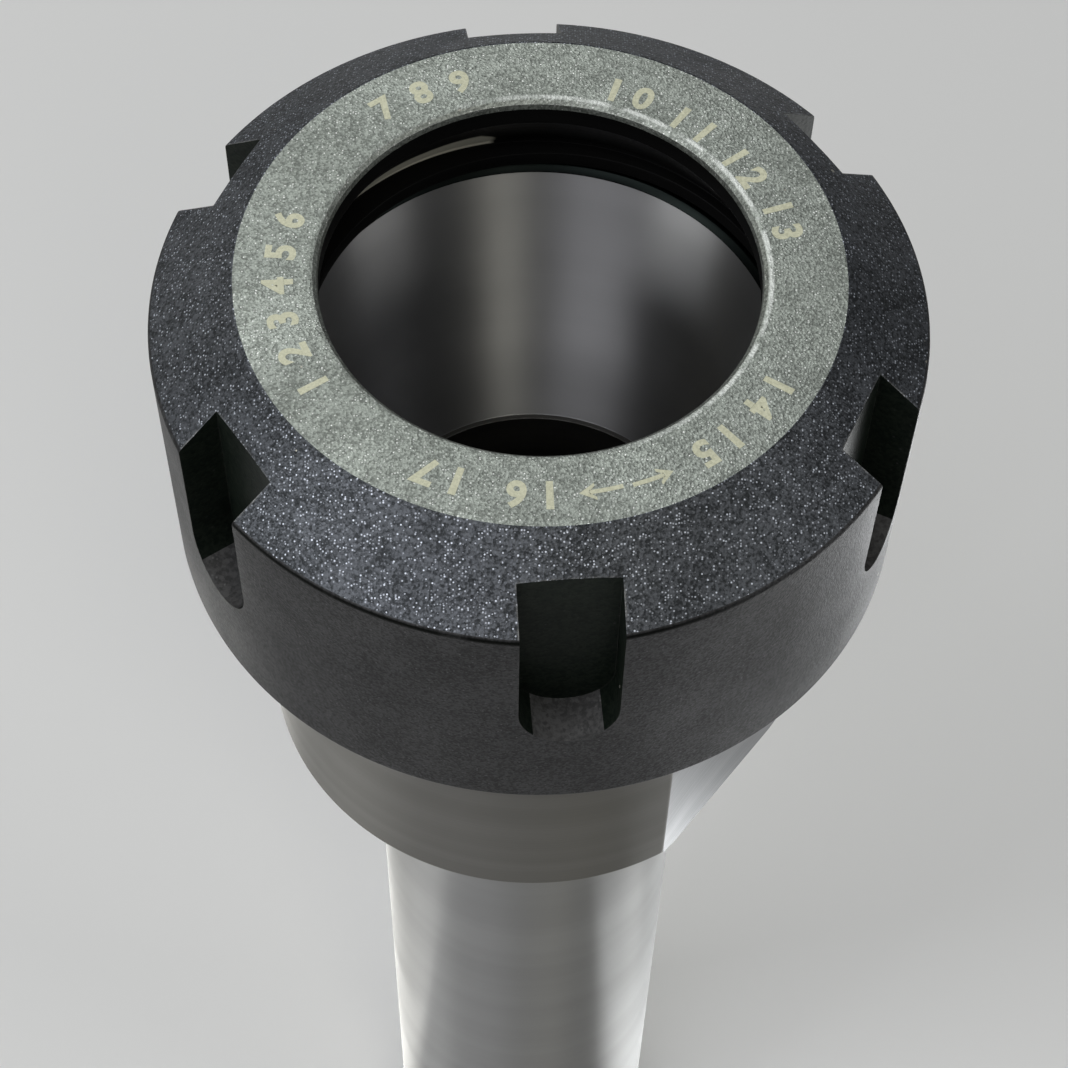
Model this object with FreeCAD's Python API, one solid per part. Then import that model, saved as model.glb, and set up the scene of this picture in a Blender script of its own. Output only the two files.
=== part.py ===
"""Straight-shank collet chuck holder, size 32: holder body, clamping nut and length-stop screw.

Millimetres, +Z up along the turning axis. The origin is the centre of the shank's end face,
so the holder stands on its shank with the nut's face on top.
"""
import FreeCAD, Part
import os
from math import cos, radians, sin, tan

# ---- holder body: shank, head and threaded nose -------------------------------------------
shank_radius = 12.5
shank_length = 100.0
shank_chamfer = 1.0
shank_relief_width = 2.0       # grinding relief under the head
shank_relief_depth = 0.25
head_radius = 20.0
head_length = 20.2
head_chamfer = 0.5
flats_across = 37.0
flats_angle = -37.0
thread_radius = 20.0          # M40 x 1.5, drawn plain at its nominal diameter
thread_spare = 1.4            # thread left showing under the nut
thread_chamfer = 0.9
relief_width = 2.5
relief_depth = 1.15

# ---- collet socket in the head ------------------------------------------------------------
socket_radius = 16.0
socket_half_angle = 8.0
taper_length = 24.0
socket_chamfer = 0.4
room_radius = 12.2            # turned room below the ground taper, for the collet's tail
room_length = 10.0
drill_half_angle = 59.0

# ---- bore through the shank ---------------------------------------------------------------
stop_radius = 8.0             # M16 x 1.5 for the stop screw, drawn plain
stop_thread_length = 50.0
core_radius = 7.25
centre_radius = 9.0
centre_half_angle = 30.0

# ---- clamping nut, outside ----------------------------------------------------------------
nut_radius = 25.0
nut_length = 23.7
face_radius = 19.4
cone_depth = 4.0
cone_edge_break = 0.25
face_chamfer = 0.1
rear_edge_chamfer = 0.4

# ---- clamping nut, inside, from the face down ---------------------------------------------
mouth_radius = 14.0
mouth_round = 0.7             # worn radius on the rim of the mouth
land_length = 2.0
seat_half_angle = 30.0
seat_outer_radius = 16.4
groove_height = 0.5
groove_width = 0.9
lip_height = 0.6              # mean height of the extraction lip over the seat's wide end
lip_offset = 0.6              # how far the lip's bore stands off the nut's axis
lip_width = 1.1
nose_gap = 0.65
undercut_depth = 0.6
undercut_width = 1.8
rear_chamfer = 0.9

# ---- hook-spanner slots round the nut -----------------------------------------------------
slot_count = 6
slot_angle = -84.3
slot_width = 6.3
slot_depth = 16.0
slot_wall = 1.9               # metal left between a slot's floor and the thread

# ---- length-stop screw --------------------------------------------------------------------
screw_length = 18.0
screw_rise = 14.0             # screw's lower end above the lower end of its thread
screw_chamfer = 1.0
key_across = 8.0              # hexagon, broached right through
key_lead_in = 0.5

# ---- clearances ---------------------------------------------------------------------------
thread_clearance = 0.05
screw_clearance = 0.05
cut_margin = 1.0              # how far a cutter reaches past the surface that it opens

# ---- heights along the axis, worked out from the values above -----------------------------
seat_depth = (seat_outer_radius - mouth_radius) / tan(radians(seat_half_angle))
lip_top_depth = land_length + seat_depth + groove_width
lip_bottom_depth = lip_top_depth + lip_width
nose_depth = lip_bottom_depth + nose_gap

head_top = shank_length + head_length
thread_bottom = head_top + relief_width
nut_rear = thread_bottom + thread_spare
nut_face = nut_rear + nut_length
nose_top = nut_face - nose_depth

taper_top = nose_top - socket_chamfer
taper_bottom = taper_top - taper_length
taper_end_radius = socket_radius - taper_length * tan(radians(socket_half_angle))
room_bottom = taper_bottom - room_length
stop_top = room_bottom - (room_radius - stop_radius) / tan(radians(drill_half_angle))
stop_bottom = stop_top - stop_thread_length
centre_depth = (centre_radius - core_radius) / tan(radians(centre_half_angle))

# ---- radii of the mating pieces -----------------------------------------------------------
nut_bore_radius = thread_radius + thread_clearance
screw_radius = stop_radius - screw_clearance
slot_floor = thread_radius + slot_wall

origin = FreeCAD.Vector(0, 0, 0)
up = FreeCAD.Vector(0, 0, 1)


def turned(outline):
    """Solid of revolution about Z from a closed outline of (radius, height) points."""
    corners = [FreeCAD.Vector(radius, 0, height) for radius, height in outline]
    wire = Part.makePolygon(corners + corners[:1])
    return Part.Face(wire).revolve(origin, up, 360)


def ring_edges(solid, radius, height, tolerance=1e-4):
    """The round edges of one radius at one height."""
    found = []
    for edge in solid.Edges:
        curve = edge.Curve
        if not isinstance(curve, Part.Circle):
            continue
        if abs(curve.Radius - radius) < tolerance and abs(curve.Center.z - height) < tolerance:
            found.append(edge)
    return found


def hexagon_prism(across, bottom, top):
    """Upright hexagonal prism about Z, by its width across flats."""
    corner_radius = across / 2 / cos(radians(30))
    corners = []
    for corner in range(6):
        angle = radians(60 * corner)
        corners.append(FreeCAD.Vector(corner_radius * cos(angle), corner_radius * sin(angle), bottom))
    wire = Part.makePolygon(corners + corners[:1])
    return Part.Face(wire).extrude(up * (top - bottom))


def bored_blank():
    """Body turned outside and inside: shank, head, nose, taper socket and through bore."""
    relief_radius = thread_radius - relief_depth
    return turned([
        (centre_radius, 0),
        (shank_radius - shank_chamfer, 0),
        (shank_radius, shank_chamfer),
        (shank_radius, shank_length - shank_relief_width),
        (shank_radius - shank_relief_depth, shank_length - shank_relief_width + shank_relief_depth),
        (shank_radius - shank_relief_depth, shank_length),
        (head_radius - head_chamfer, shank_length),
        (head_radius, shank_length + head_chamfer),
        (head_radius, head_top - head_chamfer),
        (head_radius - head_chamfer, head_top),
        (relief_radius, head_top),
        (relief_radius, thread_bottom),
        (thread_radius - thread_chamfer, thread_bottom),
        (thread_radius, thread_bottom + thread_chamfer),
        (thread_radius, nose_top - thread_chamfer),
        (thread_radius - thread_chamfer, nose_top),
        (socket_radius + socket_chamfer, nose_top),
        (socket_radius, taper_top),
        (taper_end_radius, taper_bottom),
        (room_radius, taper_bottom),
        (room_radius, room_bottom),
        (stop_radius, stop_top),
        (stop_radius, stop_bottom),
        (core_radius, stop_bottom),
        (core_radius, centre_depth),
    ])


def spanner_flat(angle):
    """Cutter for one spanner flat over the whole height of the head."""
    depth = head_radius - flats_across / 2 + cut_margin
    width = 2 * (head_radius + cut_margin)
    corner = FreeCAD.Vector(flats_across / 2, -width / 2, shank_length - cut_margin)
    cutter = Part.makeBox(depth, width, head_length + cut_margin, corner)
    cutter.rotate(origin, up, angle)
    return cutter


def holder_body():
    """One-piece body with two opposite spanner flats milled on the head."""
    body = bored_blank()
    for angle in (flats_angle, flats_angle + 180):
        body = body.cut(spanner_flat(angle))
    return body


def nut_blank():
    """Nut turned outside, with its mouth, collet seat, groove and thread bore."""
    seat_top = nut_face - land_length
    seat_bottom = seat_top - seat_depth
    lip_top = nut_face - lip_top_depth
    lip_bottom = nut_face - lip_bottom_depth
    undercut_radius = nut_bore_radius + undercut_depth
    cone_run = nut_radius - face_radius
    blank = turned([
        (mouth_radius, nut_face),
        (mouth_radius, seat_top),
        (seat_outer_radius, seat_bottom),
        (seat_outer_radius + groove_height, seat_bottom),
        (seat_outer_radius + groove_height, lip_top),
        (mouth_radius, lip_top),
        (mouth_radius, lip_bottom),
        (undercut_radius, lip_bottom),
        (undercut_radius, lip_bottom - undercut_width),
        (nut_bore_radius, lip_bottom - undercut_width),
        (nut_bore_radius, nut_rear + rear_chamfer),
        (nut_bore_radius + rear_chamfer, nut_rear),
        (nut_radius - rear_edge_chamfer, nut_rear),
        (nut_radius, nut_rear + rear_edge_chamfer),
        (nut_radius, nut_face - cone_depth),
        (face_radius + face_chamfer * cone_run / cone_depth, nut_face - face_chamfer),
        (face_radius - face_chamfer, nut_face),
    ])
    blank = blank.makeFillet(mouth_round, ring_edges(blank, mouth_radius, nut_face))
    return blank.makeChamfer(cone_edge_break, ring_edges(blank, nut_radius, nut_face - cone_depth))


def lip_bore():
    """Cutter for the eccentric bore that leaves the extraction lip proud on one side."""
    radius = seat_outer_radius - lip_height
    start = FreeCAD.Vector(lip_offset, 0, nut_face - lip_bottom_depth)
    return Part.makeCylinder(radius, lip_width, start, up)


def spanner_slot():
    """Cutter for one slot along +X: flat floor and round lower end."""
    half = slot_width / 2
    top = nut_face + cut_margin
    end_centre = nut_face - slot_depth + half
    left_top = FreeCAD.Vector(slot_floor, -half, top)
    left_end = FreeCAD.Vector(slot_floor, -half, end_centre)
    lowest = FreeCAD.Vector(slot_floor, 0, end_centre - half)
    right_end = FreeCAD.Vector(slot_floor, half, end_centre)
    right_top = FreeCAD.Vector(slot_floor, half, top)
    outline = Part.Wire([
        Part.LineSegment(left_top, left_end).toShape(),
        Part.Arc(left_end, lowest, right_end).toShape(),
        Part.LineSegment(right_end, right_top).toShape(),
        Part.LineSegment(right_top, left_top).toShape(),
    ])
    reach = nut_radius + cut_margin - slot_floor
    return Part.Face(outline).extrude(FreeCAD.Vector(reach, 0, 0))


def clamping_nut():
    """Nut blank with the eccentric lip bored and the hook-spanner slots milled."""
    nut = nut_blank().cut(lip_bore())
    slot = spanner_slot()
    for index in range(slot_count):
        cutter = slot.copy()
        cutter.rotate(origin, up, slot_angle + 360 / slot_count * index)
        nut = nut.cut(cutter)
    return nut


def stop_screw():
    """Hollow set screw with its hexagon broached through and countersunk at both ends."""
    bottom = stop_bottom + screw_rise
    top = bottom + screw_length
    corner_radius = key_across / 2 / cos(radians(30)) + key_lead_in
    blank = turned([
        (0, bottom),
        (screw_radius - screw_chamfer, bottom),
        (screw_radius, bottom + screw_chamfer),
        (screw_radius, top - screw_chamfer),
        (screw_radius - screw_chamfer, top),
        (0, top),
    ])
    screw = blank.cut(hexagon_prism(key_across, bottom - cut_margin, top + cut_margin))
    for end, direction in ((bottom, 1), (top, -1)):
        tip = FreeCAD.Vector(0, 0, end)
        sink = Part.makeCone(corner_radius, 0, corner_radius, tip, up * direction)
        screw = screw.cut(sink)
    return screw


def main():
    os.makedirs("parts", exist_ok=True)
    pieces = {
        "holder_body": holder_body(),
        "clamping_nut": clamping_nut(),
        "stop_screw": stop_screw(),
    }
    for name, solid in pieces.items():
        solid.exportStep("parts/" + name + ".step")
        box = solid.BoundBox
        print(name, "valid", solid.isValid(), "solids", len(solid.Solids), "faces", len(solid.Faces),
              "cm3", round(solid.Volume / 1000, 2), "z", round(box.ZMin, 3), round(box.ZMax, 3))
    print("nut face", round(nut_face, 3), "nose", round(nose_top, 3), "stop thread",
          round(stop_bottom, 3), round(stop_top, 3))


main()
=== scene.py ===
from math import ceil, cos, hypot, pi, radians, sin

import bmesh
import bpy
from mathutils import Matrix, Vector


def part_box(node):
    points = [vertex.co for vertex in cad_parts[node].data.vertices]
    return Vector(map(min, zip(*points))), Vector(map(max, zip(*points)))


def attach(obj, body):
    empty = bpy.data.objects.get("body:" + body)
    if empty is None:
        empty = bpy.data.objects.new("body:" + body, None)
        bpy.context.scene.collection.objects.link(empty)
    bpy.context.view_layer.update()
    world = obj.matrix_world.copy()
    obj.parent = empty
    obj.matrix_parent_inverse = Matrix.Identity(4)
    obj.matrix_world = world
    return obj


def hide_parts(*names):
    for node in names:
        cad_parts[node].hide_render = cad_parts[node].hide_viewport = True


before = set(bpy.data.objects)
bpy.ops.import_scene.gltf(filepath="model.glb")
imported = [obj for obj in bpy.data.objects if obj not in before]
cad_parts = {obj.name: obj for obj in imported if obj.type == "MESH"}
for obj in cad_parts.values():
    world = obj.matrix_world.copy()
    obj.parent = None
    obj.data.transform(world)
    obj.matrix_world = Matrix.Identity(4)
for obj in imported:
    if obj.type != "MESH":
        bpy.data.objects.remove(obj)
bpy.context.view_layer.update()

mm = 0.001
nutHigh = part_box("clamping_nut")[1]
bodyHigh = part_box("holder_body")[1]
screwLow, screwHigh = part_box("stop_screw")
faceHeight = nutHigh.z / mm    # the nut's face and the nose's top, in millimetres
noseHeight = bodyHigh.z / mm
columns = 240                  # steps round every turned piece
threadPitch = 1.5
cutMargin = 1.0                # how far a cutter reaches past the surface that it opens
sliver = 0.02 * mm             # shorter edges are closed after a cut
weld = 1e-7
threadWeld = 2e-7
bevelAngle = radians(38)       # sharper edges are softened
creaseAngle = radians(32)      # sharper edges keep split normals


def link(obj):
    bpy.context.scene.collection.objects.link(obj)
    return obj


def meshObject(name, work):
    mesh = bpy.data.meshes.new(name)
    work.to_mesh(mesh)
    work.free()
    return link(bpy.data.objects.new(name, mesh))


def newNode(tree, kind, inputs=None, **settings):
    node = tree.nodes.new(kind)
    for key, value in settings.items():
        setattr(node, key, value)
    for key, value in (inputs or {}).items():
        if isinstance(value, bpy.types.NodeSocket):
            tree.links.new(value, node.inputs[key])
        else:
            node.inputs[key].default_value = value
    return node


def maths(tree, operation, first, second=0.0, clamp=False):
    node = newNode(tree, "ShaderNodeMath", {0: first, 1: second}, operation=operation, use_clamp=clamp)
    return node.outputs[0]


def ramp(tree, value, low, high, fromValue=0.0, toValue=1.0):
    node = newNode(tree, "ShaderNodeMapRange", {"Value": value, "From Min": low, "From Max": high,
                                                "To Min": fromValue, "To Max": toValue})
    return node.outputs["Result"]


def mixColor(tree, factor, first, second):
    node = newNode(tree, "ShaderNodeMix", data_type="RGBA")
    for index, value in ((0, factor), (6, first), (7, second)):
        if isinstance(value, bpy.types.NodeSocket):
            tree.links.new(value, node.inputs[index])
        else:
            node.inputs[index].default_value = value
    return node.outputs[2]


def newGroup(name, inputs, outputs):
    tree = bpy.data.node_groups.new(name, "ShaderNodeTree")
    for label, value in inputs.items():
        socket = tree.interface.new_socket(name=label, in_out="INPUT", socket_type="NodeSocketFloat")
        socket.default_value = value
    for label in outputs:
        tree.interface.new_socket(name=label, in_out="OUTPUT", socket_type="NodeSocketFloat")
    given = tree.nodes.new("NodeGroupInput").outputs
    result = tree.nodes.new("NodeGroupOutput").inputs
    place = newNode(tree, "ShaderNodeTexCoord").outputs["Object"]
    return tree, given, result, place


def useGroup(tree, group, **inputs):
    node = tree.nodes.new("ShaderNodeGroup")
    node.node_tree = group
    for key, value in inputs.items():
        node.inputs[key].default_value = value
    return node.outputs


def newMaterial(name, **values):
    material = bpy.data.materials.new(name)
    material.use_nodes = True
    shader = material.node_tree.nodes["Principled BSDF"]
    for key, value in values.items():
        shader.inputs[key.replace("_", " ")].default_value = value
    return material, material.node_tree, shader


def rgb(red, green, blue):
    return (red, green, blue, 1.0)


def grey(value):
    return (value, value, value, 1.0)


# Camera, lamps and floor

cameraSettings = {"lens": 85.9, "distance": 185.5 * mm, "elevation": 57.04, "aimBelowFace": 30.6 * mm,
                  "roll": 1.43, "clip": (0.01, 20)}


def addCamera(s):
    camera = link(bpy.data.objects.new("camera", bpy.data.cameras.new("camera")))
    camera.data.lens = s["lens"]
    camera.data.clip_start, camera.data.clip_end = s["clip"]
    elevation = radians(s["elevation"])
    aim = Vector((0, 0, nutHigh.z - s["aimBelowFace"]))
    back = Vector((0, -cos(elevation), sin(elevation)))
    turn = (-back).to_track_quat("-Z", "Y").to_matrix().to_4x4()
    camera.matrix_world = (Matrix.Translation(aim + back * s["distance"]) @ turn
                           @ Matrix.Rotation(radians(s["roll"]), 4, "Z"))
    bpy.context.scene.camera = camera


addCamera(cameraSettings)

lampAim = Vector((0, 0, 0.14))   # in the nut's mouth
lamps = {  # place is (distance, azimuth from the front towards the right, height)
    "topLamp": {"place": (0.55, -158, 0.96), "size": (0.45, 0.45), "power": 2.75,
                "color": (0.98, 1.0, 1.0)},
    "leftLamp": {"place": (0.62, -62, 0.44), "size": (0.32, 0.24), "power": 1.4,
                 "color": (0.98, 0.99, 1.0)},
    "backLeftLamp": {"place": (0.62, -122, 0.30), "size": (0.30, 0.20), "power": 0.30,
                     "color": (1.0, 0.99, 0.95)},
    "rightLamp": {"place": (0.62, 72, 0.44), "size": (0.30, 0.24), "power": 0.62,
                  "color": (1.0, 0.99, 0.97)},
    "warmFrontLamp": {"place": (0.50, 20, 0.85), "size": (0.16, 0.40), "power": 0.80,
                      "color": (1.0, 0.97, 0.86)},
    "coolFrontLamp": {"place": (0.50, -30, 0.85), "size": (0.40, 0.40), "power": 1.60,
                      "color": (0.95, 0.95, 1.0)},
    "shankCard": {"place": (0.034, 120, 0.004), "size": (0.10, 0.034), "power": 0.060,
                  "color": (0.97, 0.99, 1.0)},
    "skirtCard": {"place": (0.140, 116, 0.004), "size": (0.16, 0.060), "power": 0.20,
                  "color": (0.97, 0.99, 1.0)},
    "leftCard": {"place": (0.050, -134, 0.004), "size": (0.065, 0.070), "power": 0.13,
                 "color": (1.0, 0.99, 0.95)},
}


def addLamp(name, s):
    # lamps over the object point at the nut; cards on the floor point straight up
    data = bpy.data.lights.new(name, "AREA")
    data.shape = "RECTANGLE"
    data.size, data.size_y = s["size"]
    data.energy = s["power"]
    data.color = s["color"]
    lamp = link(bpy.data.objects.new(name, data))
    away, azimuth, height = s["place"]
    lamp.location = (away * sin(radians(azimuth)), -away * cos(radians(azimuth)), height)
    lamp.visible_camera = False
    if height > nutHigh.z:
        aim = lampAim - lamp.location
        lamp.rotation_euler = aim.to_track_quat("-Z", "Y").to_euler()
    else:
        lamp.rotation_euler = (pi, 0, radians(azimuth))


for lampName, lampSettings in lamps.items():
    addLamp(lampName, lampSettings)

worldSettings = {"Color": rgb(0.95, 0.97, 1.0), "Strength": 0.15}


def addWorld(s):
    world = bpy.data.worlds.new("studio")
    bpy.context.scene.world = world
    world.use_nodes = True
    for key, value in s.items():
        world.node_tree.nodes["Background"].inputs[key].default_value = value


addWorld(worldSettings)

floorSettings = {"radius": 3.0, "color": rgb(0.80, 0.80, 0.79), "roughness": 0.8}


def addFloor(s):
    work = bmesh.new()
    bmesh.ops.create_circle(work, cap_ends=True, segments=96, radius=s["radius"])
    floor = meshObject("floor", work)
    material = newMaterial("paleFloor", Base_Color=s["color"], Roughness=s["roughness"])[0]
    floor.data.materials.append(material)


addFloor(floorSettings)
bpy.context.scene.view_settings.view_transform = "Standard"
print("camera, lamps and floor ready")


# Shared surface effects

def makeBlastedGrain():
    tree, given, result, place = newGroup("blastedGrain", {"Scale": 5000.0, "Glints": 0.05},
                                          ["Height", "Tone", "Glint"])
    fine = newNode(tree, "ShaderNodeTexNoise", {"Vector": place, "Scale": given["Scale"], "Detail": 2.0,
                                                "Roughness": 0.6}).outputs[0]
    cells = newNode(tree, "ShaderNodeTexVoronoi", {"Vector": place, "Scale": given["Scale"]})
    pits = maths(tree, "MULTIPLY", cells.outputs["Distance"], 0.8)
    tree.links.new(maths(tree, "ADD", fine, pits), result["Height"])
    wide = newNode(tree, "ShaderNodeTexNoise", {"Vector": place, "Scale": 420.0, "Detail": 3.0}).outputs[0]
    chance = newNode(tree, "ShaderNodeSeparateColor", {0: cells.outputs["Color"]}).outputs
    tone = maths(tree, "ADD", maths(tree, "MULTIPLY", fine, 0.55), maths(tree, "MULTIPLY", wide, 0.25))
    tone = maths(tree, "ADD", tone, maths(tree, "MULTIPLY", chance[1], 0.20))
    tree.links.new(ramp(tree, tone, 0.40, 0.60), result["Tone"])
    # Glint: a share of the cells, bright in the colour, is painted sparkle, highlights of light on the grain
    chosen = ramp(tree, chance[0], maths(tree, "SUBTRACT", 1.0, given["Glints"]), 1.0)
    core = ramp(tree, cells.outputs["Distance"], 0.42, 0.16)
    tree.links.new(maths(tree, "MULTIPLY", chosen, core), result["Glint"])
    return tree


def makeLatheLines():
    tree, given, result, place = newGroup("latheLines", {"Scale": 9000.0, "Bands": 500.0}, ["Lines", "Bands"])
    split = newNode(tree, "ShaderNodeSeparateXYZ", {0: place}).outputs
    squares = maths(tree, "ADD", maths(tree, "MULTIPLY", split[0], split[0]),
                    maths(tree, "MULTIPLY", split[1], split[1]))
    along = maths(tree, "ADD", split[2], maths(tree, "SQRT", squares))
    for label in ("Lines", "Bands"):
        source = given["Scale"] if label == "Lines" else given["Bands"]
        lines = newNode(tree, "ShaderNodeTexNoise", {"W": along, "Scale": source, "Detail": 2.0},
                        noise_dimensions="1D")
        tree.links.new(lines.outputs[0], result[label])
    return tree


def makeEdgeWear():
    tree, given, result, place = newGroup("edgeWear", {"Radius": 0.25 * mm, "Amount": 1.0}, ["Wear"])
    rounded = newNode(tree, "ShaderNodeBevel", {"Radius": given["Radius"]}, samples=6).outputs[0]
    straight = newNode(tree, "ShaderNodeNewGeometry").outputs["Normal"]
    lean = newNode(tree, "ShaderNodeVectorMath", {0: rounded, 1: straight}, operation="DOT_PRODUCT")
    edge = ramp(tree, lean.outputs["Value"], 0.995, 0.90)
    patches = newNode(tree, "ShaderNodeTexNoise", {"Vector": place, "Scale": 900.0, "Detail": 4.0}).outputs[0]
    worn = maths(tree, "MULTIPLY", edge, ramp(tree, patches, 0.36, 0.60))
    tree.links.new(maths(tree, "MULTIPLY", worn, given["Amount"], clamp=True), result["Wear"])
    return tree


def makeDustSpecks():
    tree, given, result, place = newGroup("dustSpecks", {"Scale": 900.0, "Share": 0.10, "Size": 0.10},
                                          ["Mask"])
    cells = newNode(tree, "ShaderNodeTexVoronoi", {"Vector": place, "Scale": given["Scale"]})
    chance = newNode(tree, "ShaderNodeSeparateColor", {0: cells.outputs["Color"]}).outputs
    size = maths(tree, "MULTIPLY", given["Size"], maths(tree, "ADD", chance[1], 0.35))
    inside = maths(tree, "LESS_THAN", cells.outputs["Distance"], size)
    tree.links.new(maths(tree, "MULTIPLY", inside, maths(tree, "LESS_THAN", chance[0], given["Share"])),
                   result["Mask"])
    return tree


def makeSmudges():
    tree, given, result, place = newGroup("smudges", {"Scale": 90.0}, ["Mask"])
    cloud = newNode(tree, "ShaderNodeTexNoise", {"Vector": place, "Scale": given["Scale"], "Detail": 4.0,
                                                 "Distortion": 0.6}).outputs[0]
    tree.links.new(ramp(tree, cloud, 0.38, 0.66), result["Mask"])
    return tree


def makeTurnedPlace():
    # radius and depth under the face in millimetres, and the angle round the axis in degrees
    tree, given, result, place = newGroup("turnedPlace", {}, ["Radius", "Angle", "Depth"])
    split = newNode(tree, "ShaderNodeSeparateXYZ", {0: place}).outputs
    squares = maths(tree, "ADD", maths(tree, "MULTIPLY", split[0], split[0]),
                    maths(tree, "MULTIPLY", split[1], split[1]))
    tree.links.new(maths(tree, "MULTIPLY", maths(tree, "SQRT", squares), 1 / mm), result["Radius"])
    angle = maths(tree, "MULTIPLY", maths(tree, "ARCTAN2", split[1], split[0]), 180 / pi)
    tree.links.new(angle, result["Angle"])
    depth = maths(tree, "SUBTRACT", faceHeight, maths(tree, "MULTIPLY", split[2], 1 / mm))
    tree.links.new(depth, result["Depth"])
    return tree


blastedGrain = makeBlastedGrain()
turnedPlace = makeTurnedPlace()
latheLines = makeLatheLines()
edgeWear = makeEdgeWear()
dustSpecks = makeDustSpecks()
smudges = makeSmudges()


# Finishes of the nut: fine blasted black oxide, lighter where it is worn; the glints, the mouth rim's
# highlight, the dark line under the cone's edge and the slots' lighter ends are painted light and shade

def facing(tree, angle, middle, low, high):
    # 1 near the middle angle, fading out sideways between the two cosines
    turn = maths(tree, "MULTIPLY", maths(tree, "SUBTRACT", angle, middle), pi / 180)
    return ramp(tree, maths(tree, "COSINE", turn), low, high)


def roundBand(tree, value, s):
    # a patchy band at one radius or depth, strongest on one side of the nut; it paints light and shade that
    # follow where the light falls
    place = useGroup(tree, turnedPlace)
    off = maths(tree, "ABSOLUTE", maths(tree, "SUBTRACT", place[value], s["middle"]))
    band = ramp(tree, off, s["half"], s["half"] * 0.4)
    spot = newNode(tree, "ShaderNodeTexCoord").outputs["Object"]
    patches = newNode(tree, "ShaderNodeTexNoise", {"Vector": spot, "Scale": s["patches"], "Detail": 4.0})
    band = maths(tree, "MULTIPLY", band, ramp(tree, patches.outputs[0], s["gap"], s["gap"] + 0.16))
    return maths(tree, "MULTIPLY", band, facing(tree, place["Angle"], s["side"], *s["spread"]))


def blastedOxide(name, s):
    material, tree, shader = newMaterial(name, Metallic=s["metallic"],
                                         Specular_IOR_Level=s.get("specular", 0.5))
    grain = useGroup(tree, blastedGrain, Scale=s["grain"], Glints=s["glints"])
    wear = useGroup(tree, edgeWear, Radius=s["wearRadius"] * mm, Amount=s["wear"])["Wear"]
    dust = useGroup(tree, dustSpecks, Share=s["dust"])["Mask"]
    smudge = useGroup(tree, smudges)["Mask"]
    color = mixColor(tree, grain["Tone"], s["dark"], s["light"])
    # painted glints: bright cells that stand in for sparkle of light
    color = mixColor(tree, grain["Glint"], color, s["glint"])
    color = mixColor(tree, wear, color, s["bare"])
    color = mixColor(tree, dust, color, rgb(0.42, 0.41, 0.36))
    # rim: worn patches with a painted highlight on the mouth's rim
    if "rim" in s:
        color = mixColor(tree, roundBand(tree, "Radius", s["rim"]), color, s["rim"]["color"])
    # edge: a painted dark reflection along the cone's rounded edge
    if "edge" in s:
        color = mixColor(tree, roundBand(tree, "Depth", s["edge"]), color, s["edge"]["color"])
    tree.links.new(color, shader.inputs["Base Color"])
    rough = ramp(tree, smudge, 0.0, 1.0, s["roughness"] - 0.05, s["roughness"] + 0.05)
    tree.links.new(rough, shader.inputs["Roughness"])
    bump = newNode(tree, "ShaderNodeBump", {"Height": grain["Height"], "Strength": s["bump"],
                                            "Distance": 0.03 * mm})
    tree.links.new(bump.outputs[0], shader.inputs["Normal"])
    return material


# the mouth's rim: worn patches, brightest on the side facing 22 degrees as a painted highlight
rimWearAndHighlight = {"middle": 14.52, "half": 0.20, "patches": 900.0, "gap": 0.36, "side": 22.0, "spread": (-0.1, 0.5),
           "color": rgb(0.62, 0.64, 0.61)}
# a near-black painted reflection along the rounded edge between cone and skirt, strongest on the left side
paintedDarkEdge = {"middle": 4.10, "half": 0.22, "patches": 300.0, "gap": 0.25, "side": -104.0,
            "spread": (0.62, 0.85), "color": rgb(0.006, 0.007, 0.006)}
nutFinishes = {
    "ring": {"dark": rgb(0.19, 0.205, 0.185), "light": rgb(0.40, 0.43, 0.39),
             "glint": rgb(0.95, 0.96, 0.93), "bare": rgb(0.42, 0.43, 0.41), "metallic": 0.9,
             "roughness": 0.52, "grain": 6000.0, "glints": 0.30, "bump": 0.8, "wear": 0.9,
             "wearRadius": 0.30, "dust": 0.02, "rim": rimWearAndHighlight},
    "cone": {"dark": rgb(0.033, 0.036, 0.039), "light": rgb(0.115, 0.123, 0.136),
             "glint": rgb(0.80, 0.85, 0.95), "bare": rgb(0.34, 0.34, 0.33), "metallic": 0.9,
             "roughness": 0.50, "grain": 5600.0, "glints": 0.45, "bump": 1.0, "wear": 0.8,
             "wearRadius": 0.25, "dust": 0.06, "edge": paintedDarkEdge},
    "skirt": {"dark": rgb(0.036, 0.036, 0.037), "light": rgb(0.070, 0.070, 0.072),
              "glint": rgb(0.13, 0.13, 0.135), "bare": rgb(0.14, 0.14, 0.14), "metallic": 0.95,
              "roughness": 0.60, "grain": 5200.0, "glints": 0.12, "bump": 0.6, "wear": 0.35,
              "wearRadius": 0.20, "dust": 0.012, "edge": paintedDarkEdge},
    "slot": {"dark": rgb(0.006, 0.009, 0.007), "light": rgb(0.012, 0.016, 0.012),
             "glint": rgb(0.03, 0.03, 0.03), "bare": rgb(0.06, 0.06, 0.055), "metallic": 0.0,
             "specular": 0.05, "roughness": 0.40, "grain": 3600.0, "glints": 0.03, "bump": 0.3,
             "wear": 0.25, "wearRadius": 0.15, "dust": 0.02},
    # slotLitEnd: a lighter copy of the slot's finish, painted light on the lower part of each slot's rounded
    # end where it faces up
    "slotLitEnd": {"dark": rgb(0.055, 0.055, 0.055), "light": rgb(0.10, 0.10, 0.10),
                "glint": rgb(0.18, 0.18, 0.18), "bare": rgb(0.10, 0.10, 0.10), "metallic": 0.0,
                "specular": 0.15, "roughness": 0.40, "grain": 3600.0, "glints": 0.06, "bump": 0.3,
                "wear": 0.25, "wearRadius": 0.15, "dust": 0.02},
}
nutMaterials = {label: blastedOxide(label + "Oxide", s) for label, s in nutFinishes.items()}


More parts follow.
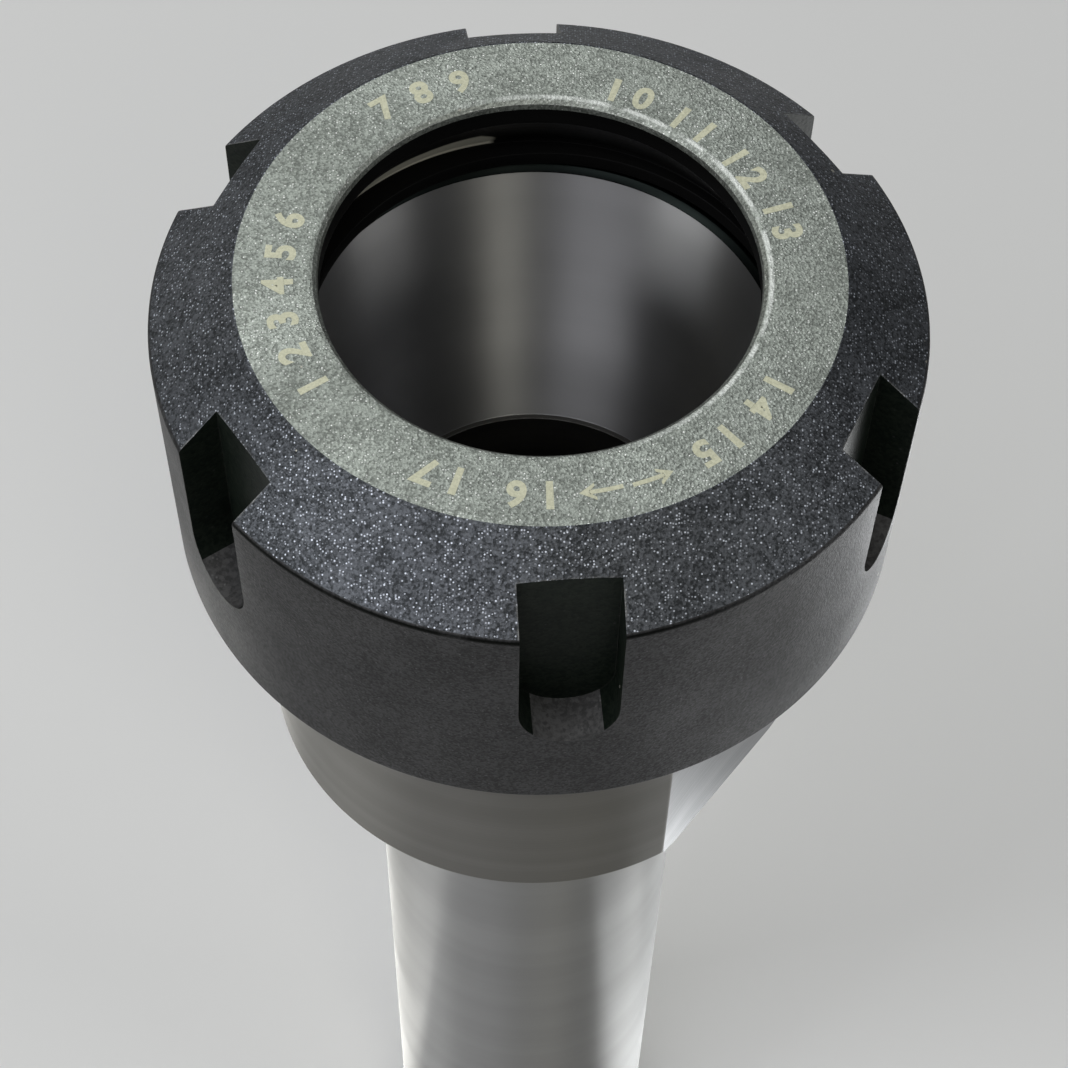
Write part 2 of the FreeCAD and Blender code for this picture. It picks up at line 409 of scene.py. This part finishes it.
def paintedLightArc(tree, s):
    # the crescent of painted light on the seat, from one angle round to the other: a lamp's reflection
    # painted bright into the colour
    place = useGroup(tree, turnedPlace)
    angle, depth = place["Angle"], place["Depth"]
    first, last = s["from"], s["to"]
    start, end, bottom = s["depth"]
    upper = ramp(tree, angle, first + s["rise"][0], last - s["rise"][1], start, end)
    rounded = ramp(tree, angle, first + s["tip"][0], first + s["tip"][1], 0.0, 1.0)
    inside = ramp(tree, maths(tree, "SUBTRACT", depth, maths(tree, "ADD", upper, rounded)), 0.0, s["soft"][0])
    above = ramp(tree, depth, bottom, bottom - s["soft"][1])
    slant = maths(tree, "ADD", angle, maths(tree, "MULTIPLY", depth, s["slant"]))
    slantEnd = last + s["slant"] * end
    ended = ramp(tree, slant, slantEnd, slantEnd - s["fade"][1])
    started = ramp(tree, angle, first, first + s["fade"][0])
    across = maths(tree, "MULTIPLY", inside, above)
    return maths(tree, "MULTIPLY", across, maths(tree, "MULTIPLY", started, ended))


def glossyOxide(name, s):
    material, tree, shader = newMaterial(name, Specular_IOR_Level=s["specular"])
    lines = useGroup(tree, latheLines, Scale=6000.0, Bands=700.0)
    dust = useGroup(tree, dustSpecks, Share=0.03, Scale=700.0)["Mask"]
    color = mixColor(tree, ramp(tree, lines["Bands"], 0.35, 0.65), grey(s["base"]), grey(s["base"] * 1.5))
    color = mixColor(tree, dust, color, rgb(0.40, 0.40, 0.36))
    rough = ramp(tree, lines["Lines"], 0.2, 0.8, s["roughness"], s["roughness"] + 0.08)
    # the arc is painted light: a bright crescent in the colour that stands in for a lamp's reflection in the
    # mouth
    if "arc" in s:
        litArc = paintedLightArc(tree, s["arc"])
        color = mixColor(tree, litArc, color, s["arc"]["color"])
    tree.links.new(color, shader.inputs["Base Color"])
    tree.links.new(rough, shader.inputs["Roughness"])
    bump = newNode(tree, "ShaderNodeBump", {"Height": lines["Lines"], "Strength": 0.15,
                                            "Distance": 0.005 * mm})
    tree.links.new(bump.outputs[0], shader.inputs["Normal"])
    return material


# arc: the crescent of painted light, a lamp's reflection painted into the mouth's colour
mouthFinish = {"base": 0.004, "specular": 0.03, "roughness": 0.30,
               "arc": {"from": 101.5, "to": 147.0, "depth": (4.1, 3.1, 7.0), "slant": 1.8, "rise": (20, 8),
                       "tip": (4.5, 0.5), "soft": (0.4, 0.1), "fade": (1.5, 3.0),
                       "color": rgb(0.62, 0.60, 0.50)}}
threadFinish = {"base": 0.030, "specular": 0.25, "roughness": 0.30}
nutMaterials["mouth"] = glossyOxide("mouthOxide", mouthFinish)
nutMaterials["thread"] = glossyOxide("threadOxide", threadFinish)


# Finishes of the steel body: ground shank and socket, turned head, milled flats, and a nose face darkened as
# painted shade

def groundSteel(name, s):
    material, tree, shader = newMaterial(name, Metallic=1.0, Anisotropic=s["anisotropy"],
                                         Anisotropic_Rotation=0.25)
    lines = useGroup(tree, latheLines, Scale=s["lines"], Bands=s["bands"])
    smudge = useGroup(tree, smudges, Scale=s["smudgeScale"])["Mask"]
    wear = useGroup(tree, edgeWear, Radius=0.2 * mm, Amount=0.6)["Wear"]
    color = mixColor(tree, ramp(tree, lines["Bands"], 0.35, 0.65), s["dark"], s["light"])
    color = mixColor(tree, wear, color, s["bare"])
    tree.links.new(color, shader.inputs["Base Color"])
    rough = ramp(tree, lines["Lines"], 0.25, 0.75, s["roughness"] - 0.04, s["roughness"] + 0.04)
    rough = maths(tree, "ADD", rough, maths(tree, "MULTIPLY", smudge, 0.05))
    tree.links.new(rough, shader.inputs["Roughness"])
    tangent = newNode(tree, "ShaderNodeTangent", direction_type="RADIAL", axis="Z").outputs[0]
    tree.links.new(tangent, shader.inputs["Tangent"])
    bump = newNode(tree, "ShaderNodeBump", {"Height": lines["Lines"], "Strength": s["bump"],
                                            "Distance": 0.004 * mm})
    tree.links.new(bump.outputs[0], shader.inputs["Normal"])
    return material


steelFinishes = {
    "shank": {"dark": rgb(0.295, 0.295, 0.29), "light": rgb(0.32, 0.32, 0.315), "bare": grey(0.60),
              "roughness": 0.48, "anisotropy": 0.95, "lines": 9000.0, "bands": 160.0,
              "smudgeScale": 60.0, "bump": 0.05},
    "head": {"dark": rgb(0.175, 0.171, 0.158), "light": rgb(0.192, 0.188, 0.175), "bare": grey(0.45),
             "roughness": 0.48, "anisotropy": 0.90, "lines": 7000.0, "bands": 400.0,
             "smudgeScale": 90.0, "bump": 0.05},
    "flat": {"dark": rgb(0.11, 0.113, 0.120), "light": rgb(0.14, 0.144, 0.15), "bare": grey(0.45),
             "roughness": 0.36, "anisotropy": 0.0, "lines": 4000.0, "bands": 250.0, "smudgeScale": 90.0,
             "bump": 0.2},
    "socket": {"dark": rgb(0.42, 0.42, 0.42), "light": rgb(0.44, 0.44, 0.44), "bare": grey(0.50),
               "roughness": 0.46, "anisotropy": 1.0, "lines": 12000.0, "bands": 200.0,
               "smudgeScale": 120.0, "bump": 0.08},
    # nose: near-black as painted shade under the nut's lip, on a face of ground steel
    "nose": {"dark": rgb(0.005, 0.006, 0.006), "light": rgb(0.010, 0.013, 0.012),
             "bare": rgb(0.07, 0.09, 0.085), "roughness": 0.35, "anisotropy": 0.3, "lines": 3000.0,
             "bands": 300.0, "smudgeScale": 120.0, "bump": 0.2},
    "bore": {"dark": rgb(0.10, 0.10, 0.095), "light": rgb(0.15, 0.145, 0.135), "bare": grey(0.40),
             "roughness": 0.45, "anisotropy": 0.3, "lines": 3000.0, "bands": 300.0,
             "smudgeScale": 120.0, "bump": 0.4},
}
steelMaterials = {label: groundSteel(label + "Steel", s) for label, s in steelFinishes.items()}
print("finishes ready")


# Turned meshes, cutters and threads

def around(radius, angle, height):
    return (radius * mm * cos(angle), radius * mm * sin(angle), height * mm)


def roundedOutline(outline, steps=3):
    # each corner is (radius, height, rounding, finish of the wall that follows)
    points = []
    for index, (radius, height, rounding, finish) in enumerate(outline):
        corner = Vector((radius, height))
        before = outline[index - 1]
        after = outline[(index + 1) % len(outline)]
        if not rounding:
            points.append((corner, finish))
            continue
        start = corner + (Vector(before[:2]) - corner).normalized() * rounding
        end = corner + (Vector(after[:2]) - corner).normalized() * rounding
        for step in range(steps + 1):
            share = step / steps
            place = start.lerp(corner, share).lerp(corner.lerp(end, share), share)
            points.append((place, finish if step == steps else before[3]))
    return points


def turnedMesh(name, outline, materials):
    labels = list(materials)
    work = bmesh.new()
    rings = []
    points = roundedOutline(outline)
    for place, finish in points:
        ring = []
        for column in range(columns):
            angle = 2 * pi * column / columns
            ring.append(work.verts.new(around(place.x, angle, place.y)))
        rings.append(ring)
    for index, (place, finish) in enumerate(points):
        ring, following = rings[index], rings[(index + 1) % len(rings)]
        for column in range(columns):
            after = (column + 1) % columns
            face = work.faces.new((ring[column], ring[after], following[after], following[column]))
            face.material_index = labels.index(finish)
    bmesh.ops.remove_doubles(work, verts=work.verts, dist=weld)
    bmesh.ops.recalc_face_normals(work, faces=work.faces)
    piece = meshObject(name, work)
    for material in materials.values():
        piece.data.materials.append(material)
    return piece


def prismMesh(name, outline, start, end, turns, materials, lastFrom=None):
    # upright outlines of (across, height) points, pushed out along +X and turned about the axis
    work = bmesh.new()
    for turn in turns:
        spin = Matrix.Rotation(radians(turn), 4, "Z")
        near, far = ([work.verts.new(spin @ Vector((reach * mm, across * mm, height * mm)))
                      for across, height in outline] for reach in (start, end))
        work.faces.new(near)
        work.faces.new(list(reversed(far)))
        for index in range(len(outline)):
            after = (index + 1) % len(outline)
            side = work.faces.new((near[after], near[index], far[index], far[after]))
            middle = (outline[index][1] + outline[after][1]) / 2
            if lastFrom is not None and middle < lastFrom:
                side.material_index = len(materials) - 1
    bmesh.ops.recalc_face_normals(work, faces=work.faces)
    piece = meshObject(name, work)
    for material in materials:
        piece.data.materials.append(material)
    return piece


def settle(piece):
    graph = bpy.context.evaluated_depsgraph_get()
    mesh = bpy.data.meshes.new_from_object(piece.evaluated_get(graph), depsgraph=graph)
    piece.modifiers.clear()
    piece.data = mesh


def cutAway(piece, cutter, edge):
    cut = piece.modifiers.new("cut", "BOOLEAN")
    cut.operation = "DIFFERENCE"
    cut.solver = "EXACT"
    cut.material_mode = "TRANSFER"
    cut.object = cutter
    settle(piece)
    bpy.data.objects.remove(cutter)
    work = bmesh.new()
    work.from_mesh(piece.data)
    bmesh.ops.dissolve_degenerate(work, edges=work.edges, dist=sliver)
    work.to_mesh(piece.data)
    work.free()
    soften = piece.modifiers.new("soften", "BEVEL")
    soften.width = edge * mm
    soften.segments = 2
    soften.limit_method = "ANGLE"
    soften.angle_limit = bevelAngle
    soften.use_clamp_overlap = True
    settle(piece)


def cutThread(piece, s):
    # swaps the plain wall between two end rings for a helical thread with the same end rings
    work = bmesh.new()
    work.from_mesh(piece.data)
    low, high = s["low"], s["high"]
    side = s["side"]
    reach = [low[0], high[0], s["radius"]]
    slack = 0.003    # how far off the wall's own faces may lie
    wall = []
    for face in work.faces:
        inside = True
        for vertex in face.verts:
            radius = hypot(vertex.co.x, vertex.co.y) / mm
            height = vertex.co.z / mm
            inside = inside and low[1] - slack < height < high[1] + slack
            inside = inside and min(reach) - slack < radius < max(reach) + slack
        if inside:
            wall.append(face)
    finish = wall[0].material_index
    bmesh.ops.delete(work, geom=wall, context="FACES")
    shape = s["shape"]
    perTurn = len(shape)
    rows = perTurn * ceil((high[1] - low[1]) / threadPitch + 2)    # a turn to spare at either end
    grid = []
    for column in range(columns):
        line = []
        for row in range(rows + 1):
            turn, step = divmod(row, perTurn)
            phase, depth = shape[step]
            height = low[1] + (turn + phase + column / columns - 1) * threadPitch
            if height <= low[1] or height >= high[1]:
                radius, height = low if height <= low[1] else high
            else:
                ends = min(side * low[0] + height - low[1], side * high[0] + high[1] - height)
                radius = side * min(side * s["radius"] - depth, ends)
            angle = 2 * pi * column / columns
            line.append(work.verts.new(around(radius, angle, height)))
        grid.append(line)
    for column in range(columns):
        wrap = perTurn if column == columns - 1 else 0
        line, following = grid[column], grid[(column + 1) % columns]
        for row in range(rows - wrap):
            corners = (line[row], following[row + wrap], following[row + 1 + wrap], line[row + 1])
            face = work.faces.new(corners)
            face.material_index = finish
    bmesh.ops.remove_doubles(work, verts=work.verts, dist=threadWeld)
    bmesh.ops.dissolve_degenerate(work, edges=work.edges, dist=threadWeld)
    bmesh.ops.recalc_face_normals(work, faces=work.faces)
    loose = [vertex for vertex in work.verts if not vertex.link_faces]
    bmesh.ops.delete(work, geom=loose, context="VERTS")
    print(piece.name, "open edges", sum(1 for edge in work.edges if not edge.is_manifold))
    work.to_mesh(piece.data)
    work.free()


def finishPiece(piece, body, node):
    piece.data.shade_smooth()
    piece.data.set_sharp_from_angle(angle=creaseAngle)
    normals = piece.modifiers.new("normals", "WEIGHTED_NORMAL")
    normals.keep_sharp = True
    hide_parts(node)
    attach(piece, body)


# ISO thread form as (share of the pitch, depth) steps; shallow keeps a running gap in the bores
fullThread = ((0.0, 0.0), (0.125, 0.0), (0.4375, 0.812), (0.5625, 0.86), (0.6875, 0.812))
shallowThread = ((0.0, 0.0), (0.30, 0.0), (0.45, 0.35), (0.55, 0.38), (0.70, 0.35))

# Clamping nut; heights are from the nut's face down, in millimetres

nutShape = {"radius": 25.0, "length": 23.7, "ring": 19.4, "coneDepth": 4.0, "mouth": 14.0, "land": 2.0,
            "seat": (16.4, 6.157), "groove": (16.9, 7.057), "lip": (15.8, 8.157), "lipShift": 0.6,
            "undercut": (20.65, 9.957), "bore": 20.05, "boreChamfer": 0.9, "rearChamfer": 0.4,
            "markHeight": 0.01, "edge": 0.12, "slots": 6, "slotAngle": -84.3, "slotWidth": 6.3,
            "slotDepth": 16.0, "slotFloor": 21.9, "slotSteps": 16, "slotLitEndShare": 0.70}


def addNut(s):
    top = faceHeight
    face = top - s["markHeight"]
    outline = [
        (s["mouth"], face, 0.70, "mouth"),
        (s["mouth"], top - s["land"], 0.06, "mouth"),
        (s["seat"][0], top - s["seat"][1], 0.06, "mouth"),
        (s["groove"][0], top - s["seat"][1], 0.06, "mouth"),
        (s["groove"][0], top - s["groove"][1], 0.06, "mouth"),
        (s["lip"][0], top - s["groove"][1], 0.10, "mouth"),
        (s["lip"][0], top - s["lip"][1], 0.10, "thread"),
        (s["undercut"][0], top - s["lip"][1], 0.10, "thread"),
        (s["undercut"][0], top - s["undercut"][1], 0.05, "thread"),
        (s["bore"], top - s["undercut"][1], 0, "thread"),
        (s["bore"], top - s["length"] + s["boreChamfer"], 0, "thread"),
        (s["bore"] + s["boreChamfer"], top - s["length"], 0, "skirt"),
        (s["radius"] - s["rearChamfer"], top - s["length"], 0.10, "skirt"),
        (s["radius"], top - s["length"] + s["rearChamfer"], 0.12, "skirt"),
        (s["radius"], top - s["coneDepth"], 0.22, "cone"),
        (s["ring"], face, 0.10, "ring"),
    ]
    nut = turnedMesh("clampingNut", outline, nutMaterials)
    for vertex in nut.data.vertices:
        below = top - vertex.co.z / mm
        onLip = s["groove"][1] - 0.01 < below < s["lip"][1] + 0.01
        if onLip and hypot(vertex.co.x, vertex.co.y) / mm < s["lip"][0] + 0.2:
            vertex.co.x += s["lipShift"] * mm
    half = s["slotWidth"] / 2
    centre = top - s["slotDepth"] + half
    slotOutline = [(-half, top + cutMargin)]
    for step in range(s["slotSteps"] + 1):
        angle = pi * step / s["slotSteps"]
        slotOutline.append((-half * cos(angle), centre - half * sin(angle)))
    slotOutline.append((half, top + cutMargin))
    turns = [s["slotAngle"] + 360 / s["slots"] * index for index in range(s["slots"])]
    # the lower part of each slot's rounded end takes the lighter copy: painted light
    slotMaterials = [nutMaterials["slot"], nutMaterials["slotLitEnd"]]
    cutter = prismMesh("slotCutter", slotOutline, s["slotFloor"], s["radius"] + cutMargin, turns,
                       slotMaterials, centre - s["slotLitEndShare"] * half)
    cutAway(nut, cutter, s["edge"])
    low = top - s["length"]
    cutThread(nut, {"low": (s["bore"] + s["boreChamfer"], low), "high": (s["bore"], top - s["undercut"][1]),
                    "radius": s["bore"], "side": -1, "shape": shallowThread})
    finishPiece(nut, "nut", "clamping_nut")
    return nut


nut = addNut(nutShape)
print("nut ready", len(nut.data.polygons), "faces")

# Dial marks on the nut's ring: numbers are (text, angle, radius) with their tops outward, and
# arrows are (first angle, last angle, radius, way of the head)

dialMarks = {
    "height": 2.0, "weight": 0.035, "spacing": 2.0, "arrowLine": 0.30, "arrowHead": 0.62,
    "arrowSteps": 6, "arrowBarb": 1.6, "arrowNotch": 0.9, "arrowThick": 1.5,
    "numbers": [("1", -145.2, 16.6), ("2", -154.6, 16.6), ("3", -164.0, 16.5), ("4", -173.4, 16.5),
                ("5", 177.2, 16.4), ("6", 167.8, 16.4), ("7", 128.6, 16.8), ("8", 119.2, 16.7),
                ("9", 109.8, 16.6), ("10", 69.6, 15.9), ("11", 51.8, 15.7), ("12", 34.0, 15.7),
                ("13", 16.2, 16.0), ("14", -33.7, 17.0), ("15", -50.3, 17.1), ("16", -90.4, 17.1),
                ("17", -109.5, 16.9)],
    "arrows": [(-61.5, -70.3, 17.2, -1), (-72.2, -81.2, 17.1, 1)],
}


def glyphPoints(character, s):
    # one character as a flat mesh, centred on its own middle and scaled to the marks' height
    text = bpy.data.curves.new("glyph", "FONT")
    text.body = character
    text.offset = s["weight"]
    text.resolution_u = 4
    glyph = link(bpy.data.objects.new("glyph", text))
    graph = bpy.context.evaluated_depsgraph_get()
    mesh = bpy.data.meshes.new_from_object(glyph.evaluated_get(graph), depsgraph=graph)
    bpy.data.objects.remove(glyph)
    across = [vertex.co.x for vertex in mesh.vertices]
    high = [vertex.co.y for vertex in mesh.vertices]
    scale = s["height"] / (max(high) - min(high))
    middle = ((max(across) + min(across)) / 2, (max(high) + min(high)) / 2)
    points = [((vertex.co.x - middle[0]) * scale, (vertex.co.y - middle[1]) * scale)
              for vertex in mesh.vertices]
    return points, [list(polygon.vertices) for polygon in mesh.polygons]


def addDialMarks(s):
    work = bmesh.new()
    low, high = faceHeight - 1.2 * nutShape["markHeight"], faceHeight

    def place(across, outward, angle, radius):
        turn = radians(angle) - across / radius
        reach = radius + outward
        return reach * mm * cos(turn), reach * mm * sin(turn)

    def addFaces(points, faces, angle, radius):
        top = [work.verts.new((*place(x, y, angle, radius), high * mm)) for x, y in points]
        for face in faces:
            work.faces.new([top[index] for index in face])

    for text, angle, radius in s["numbers"]:
        for index, character in enumerate(text):
            shift = (index - (len(text) - 1) / 2) * s["spacing"]
            points, faces = glyphPoints(character, s)
            addFaces([(x + shift, y) for x, y in points], faces, angle, radius)
    half, head = s["arrowLine"] / 2, s["arrowHead"]
    for start, end, radius, way in s["arrows"]:
        middle = (start + end) / 2
        reach = radians(abs(start - end)) * radius / 2
        steps = s["arrowSteps"]
        stations = [-way * (reach - (2 * reach - head) * step / steps) for step in range(steps + 1)]
        line = [(x, -half) for x in stations] + [(x, half) for x in reversed(stations)]
        tip = way * reach
        barb = tip - way * head * s["arrowBarb"]
        thick = s["arrowThick"] * half
        wings = [(tip, 0), (barb, head), (barb, head - thick), (tip - way * head * s["arrowNotch"], 0),
                 (barb, -head + thick), (barb, -head)]
        addFaces(line, [list(range(len(line)))], middle, radius)
        addFaces(wings, [list(range(len(wings)))], middle, radius)
    bmesh.ops.remove_doubles(work, verts=work.verts, dist=weld)
    for face in work.faces:
        if face.normal.z < 0:
            face.normal_flip()
    sides = bmesh.ops.extrude_face_region(work, geom=list(work.faces), use_keep_orig=True)
    lower = [item for item in sides["geom"] if isinstance(item, bmesh.types.BMVert)]
    bmesh.ops.translate(work, verts=lower, vec=(0, 0, (low - high) * mm))
    bmesh.ops.recalc_face_normals(work, faces=work.faces)
    marks = meshObject("dialMarks", work)
    material, tree, shader = newMaterial("laserMark", Metallic=0.2)
    grain = useGroup(tree, blastedGrain, Scale=6000.0, Glints=0.06)
    color = mixColor(tree, grain["Tone"], rgb(0.50, 0.50, 0.36), rgb(0.66, 0.66, 0.49))
    tree.links.new(color, shader.inputs["Base Color"])
    tree.links.new(ramp(tree, grain["Tone"], 0.0, 1.0, 0.45, 0.6), shader.inputs["Roughness"])
    marks.data.materials.append(material)
    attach(marks, "nut")
    return marks


marks = addDialMarks(dialMarks)
print("dial marks ready", len(marks.data.polygons), "faces")

# Holder body; heights are from the shank's end up, in millimetres

bodyShape = {"shank": 12.5, "shankLength": 100.0, "endChamfer": 1.0, "groundOff": (2.0, 0.25),
             "head": 20.0, "headTop": 120.2, "headChamfer": 0.5, "flats": 37.0, "flatAngle": -37.0,
             "edge": 0.15, "relief": (18.85, 122.7), "thread": 20.0, "threadEnd": 19.1, "socket": 16.0,
             "socketChamfer": 0.4, "taperEnd": (12.627, 114.593), "room": (12.2, 104.593),
             "stop": (8.0, 102.069, 52.069), "core": 7.25, "centre": (9.0, 3.031)}


def addBody(s):
    top = noseHeight
    shank, head, long = s["shank"], s["head"], s["shankLength"]
    end, chamfer = s["endChamfer"], s["headChamfer"]
    width, depth = s["groundOff"]
    outline = [
        (s["centre"][0], 0, 0.12, "bore"),
        (shank - end, 0, 0.20, "shank"),
        (shank, end, 0.25, "shank"),
        (shank, long - width, 0.05, "shank"),
        (shank - depth, long - width + depth, 0.05, "shank"),
        (shank - depth, long, 0.12, "head"),
        (head - chamfer, long, 0.15, "head"),
        (head, long + chamfer, 0.15, "head"),
        (head, s["headTop"] - chamfer, 0.15, "head"),
        (head - chamfer, s["headTop"], 0.12, "head"),
        (s["relief"][0], s["headTop"], 0.20, "head"),
        (s["relief"][0], s["relief"][1], 0.0, "head"),
        (s["threadEnd"], s["relief"][1], 0, "head"),
        (s["threadEnd"], top, 0, "nose"),
        (s["socket"] + s["socketChamfer"], top, 0.08, "nose"),
        (s["socket"], top - s["socketChamfer"], 0.05, "socket"),
        (s["taperEnd"][0], s["taperEnd"][1], 0.05, "bore"),
        (s["room"][0], s["taperEnd"][1], 0.05, "bore"),
        (s["room"][0], s["room"][1], 0.30, "bore"),
        (s["stop"][0], s["stop"][1], 0, "bore"),
        (s["stop"][0], s["stop"][2], 0, "bore"),
        (s["core"], s["stop"][2], 0.10, "bore"),
        (s["core"], s["centre"][1], 0.10, "bore"),
    ]
    body = turnedMesh("holderBody", outline, steelMaterials)
    flat = s["flats"] / 2
    below = long - cutMargin
    flatOutline = [(-head, below), (head, below), (head, s["headTop"]), (-head, s["headTop"])]
    turns = [s["flatAngle"], s["flatAngle"] + 180]
    cutter = prismMesh("flatCutter", flatOutline, flat, head + cutMargin, turns, [steelMaterials["flat"]])
    cutAway(body, cutter, s["edge"])
    cutThread(body, {"low": (s["threadEnd"], s["relief"][1]), "high": (s["threadEnd"], top),
                     "radius": s["thread"], "side": 1, "shape": fullThread})
    cutThread(body, {"low": (s["stop"][0], s["stop"][2]), "high": (s["stop"][0], s["stop"][1]),
                     "radius": s["stop"][0], "side": -1, "shape": shallowThread})
    finishPiece(body, "holder", "holder_body")
    return body


body = addBody(bodyShape)
print("body ready", len(body.data.polygons), "faces")

# Stop screw, in millimetres

screwShape = {"radius": 7.95, "chamfer": 1.0, "key": 8.0, "sink": 5.119, "edge": 0.08}


def addScrew(s):
    low, high = screwLow.z / mm, screwHigh.z / mm
    outline = [
        (0, low + s["sink"], 0, "thread"),
        (s["sink"], low, 0.08, "thread"),
        (s["radius"] - s["chamfer"], low, 0, "thread"),
        (s["radius"] - s["chamfer"], high, 0, "thread"),
        (s["sink"], high, 0.08, "thread"),
        (0, high - s["sink"], 0, "thread"),
    ]
    screw = turnedMesh("stopScrew", outline, {"thread": nutMaterials["thread"]})
    corner = s["key"] / 2 / cos(radians(30))
    work = bmesh.new()
    rings = []
    for height in (low - cutMargin, high + cutMargin):
        rings.append([work.verts.new(around(corner, pi / 3 * step, height)) for step in range(6)])
    work.faces.new(rings[0])
    work.faces.new(rings[1])
    for step in range(6):
        after = (step + 1) % 6
        work.faces.new((rings[0][step], rings[0][after], rings[1][after], rings[1][step]))
    bmesh.ops.recalc_face_normals(work, faces=work.faces)
    key = meshObject("keyCutter", work)
    key.data.materials.append(nutMaterials["thread"])
    cutAway(screw, key, s["edge"])
    end = s["radius"] - s["chamfer"]
    cutThread(screw, {"low": (end, low), "high": (end, high), "radius": s["radius"], "side": 1,
                      "shape": fullThread})
    finishPiece(screw, "stop", "stop_screw")
    return screw


screw = addScrew(screwShape)
print("screw ready", len(screw.data.polygons), "faces")
